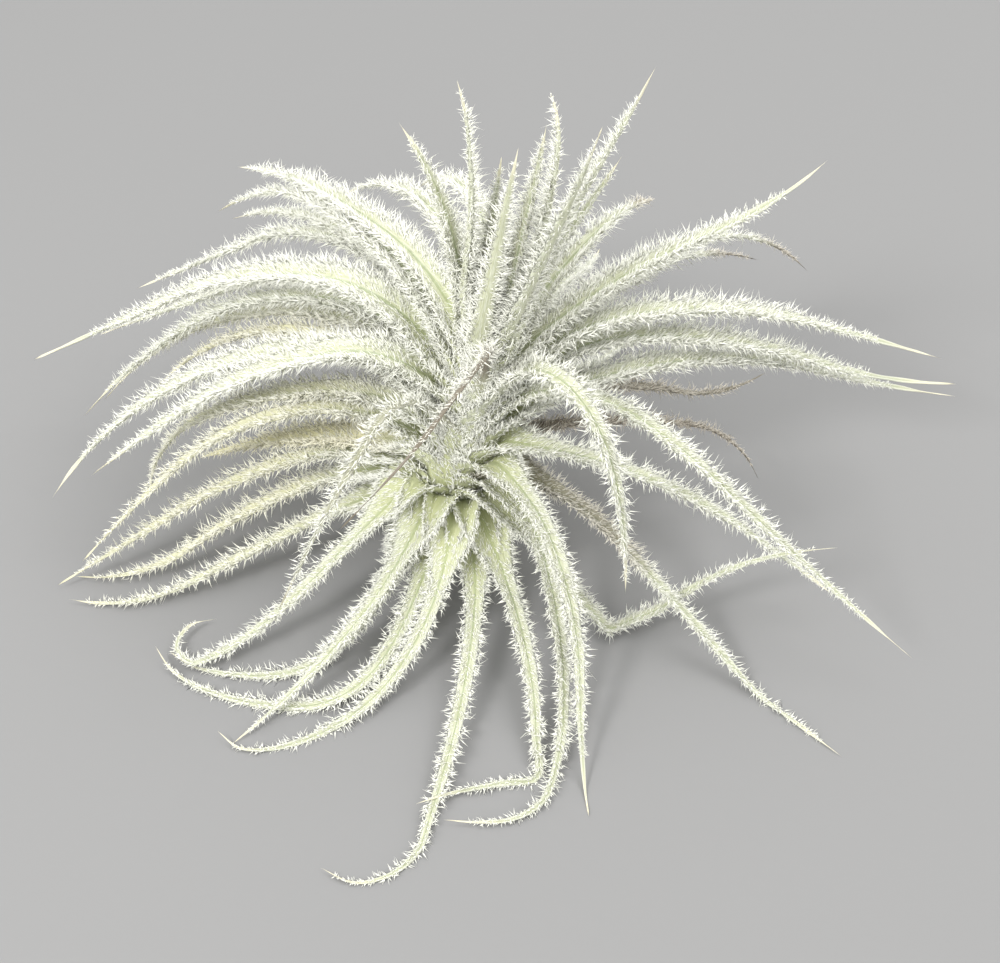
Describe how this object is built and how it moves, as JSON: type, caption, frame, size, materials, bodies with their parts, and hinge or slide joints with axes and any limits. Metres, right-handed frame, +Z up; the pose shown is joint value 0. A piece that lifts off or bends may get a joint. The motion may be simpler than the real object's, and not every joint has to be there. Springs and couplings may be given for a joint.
{
  "type": "air plant",
  "caption": "Silver-haired air plant without a pot, its narrow arching leaves covered in long white scale hairs, resting on its lower leaves.",
  "frame": {"origin": "on the floor plane, under the middle of the plant's bounding box", "axes": "+Z up; +Y away from the side on which the lower leaves are spread widest along the floor; +X to the right of a viewer who looks along +Y"},
  "size_m": [0.1936, 0.166, 0.1081],
  "materials": {
    "haired_leaf": "matt green-grey leaf under a dense coat of long white hairs, bare and straw-coloured at the tip",
    "dry_leaf": "matt dry brown leaf, thinly haired",
    "stem": "matt dry bark, hidden by the leaf bases"
  },
  "bodies": {
    "root": {"stem": "stem", "leaf_01": "haired_leaf", "leaf_02": "haired_leaf", "leaf_03": "haired_leaf", "leaf_04": "haired_leaf", "leaf_05": "haired_leaf", "leaf_06": "haired_leaf", "leaf_07": "haired_leaf", "leaf_08": "haired_leaf", "leaf_09": "haired_leaf", "leaf_10": "haired_leaf", "leaf_11": "haired_leaf", "leaf_12": "haired_leaf", "leaf_13": "haired_leaf", "leaf_14": "haired_leaf", "leaf_15": "haired_leaf", "leaf_16": "haired_leaf", "leaf_17": "haired_leaf", "leaf_18": "haired_leaf", "leaf_19": "dry_leaf", "leaf_20": "haired_leaf", "leaf_21": "haired_leaf", "leaf_22": "haired_leaf", "leaf_23": "dry_leaf", "leaf_24": "haired_leaf", "leaf_25": "haired_leaf", "leaf_26": "haired_leaf", "leaf_27": "haired_leaf", "leaf_28": "haired_leaf", "leaf_29": "haired_leaf", "leaf_30": "haired_leaf", "leaf_31": "haired_leaf", "leaf_32": "haired_leaf", "leaf_33": "haired_leaf", "leaf_34": "haired_leaf", "leaf_35": "haired_leaf", "leaf_36": "haired_leaf", "leaf_37": "haired_leaf", "leaf_38": "haired_leaf", "leaf_39": "haired_leaf", "leaf_40": "haired_leaf", "leaf_41": "haired_leaf", "leaf_42": "haired_leaf", "leaf_43": "haired_leaf", "leaf_44": "dry_leaf", "leaf_45": "haired_leaf", "leaf_46": "haired_leaf", "leaf_47": "haired_leaf", "leaf_48": "haired_leaf", "leaf_49": "haired_leaf", "leaf_50": "haired_leaf", "leaf_51": "haired_leaf", "leaf_52": "haired_leaf", "leaf_53": "haired_leaf", "leaf_54": "haired_leaf", "leaf_55": "haired_leaf", "leaf_56": "haired_leaf", "leaf_57": "haired_leaf", "leaf_58": "haired_leaf", "leaf_59": "haired_leaf"}
  },
  "joints": []
}
